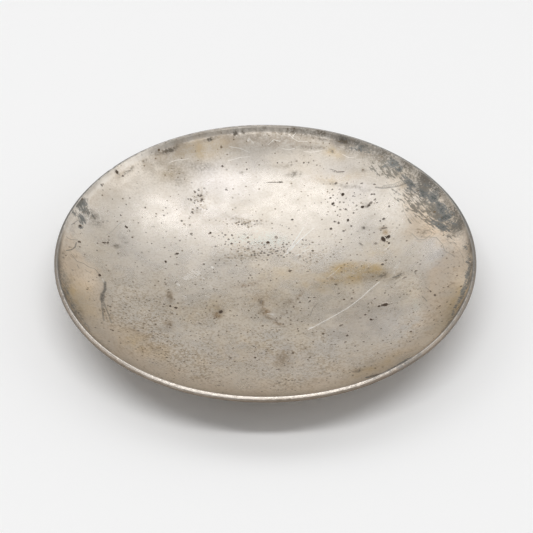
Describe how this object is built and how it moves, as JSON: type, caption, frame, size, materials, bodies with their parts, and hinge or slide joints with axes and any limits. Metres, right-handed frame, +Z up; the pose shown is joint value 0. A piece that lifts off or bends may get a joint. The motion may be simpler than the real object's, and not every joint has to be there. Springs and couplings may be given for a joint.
{
  "type": "shallow metal dish",
  "caption": "Shallow round silvery metal dish with a smooth curved inside, a narrow rounded rim wire and a low foot ring, aged and pitted, for water, offerings or reflection.",
  "frame": {"origin": "on the dish's axis, at the level of the surface that the foot ring rests on", "axes": "+Z up along the dish's axis of symmetry; X and Y lie in the resting plane, and the picture looks along +Y from above"},
  "size_m": [0.18, 0.18, 0.022],
  "materials": {
    "dish_metal": "aged silver, hammered smooth, with grey, blue-grey and brown tarnish, pits and light scratches",
    "rim_metal": "aged silver, worn bright along the crest, with brown tarnish outside and in the inner root",
    "foot_metal": "aged silver, darker tarnish, worn bright where it rests"
  },
  "bodies": {
    "root": {"bowl_shell": "dish_metal", "rim_wire": "rim_metal", "foot_ring": "foot_metal"}
  },
  "joints": []
}
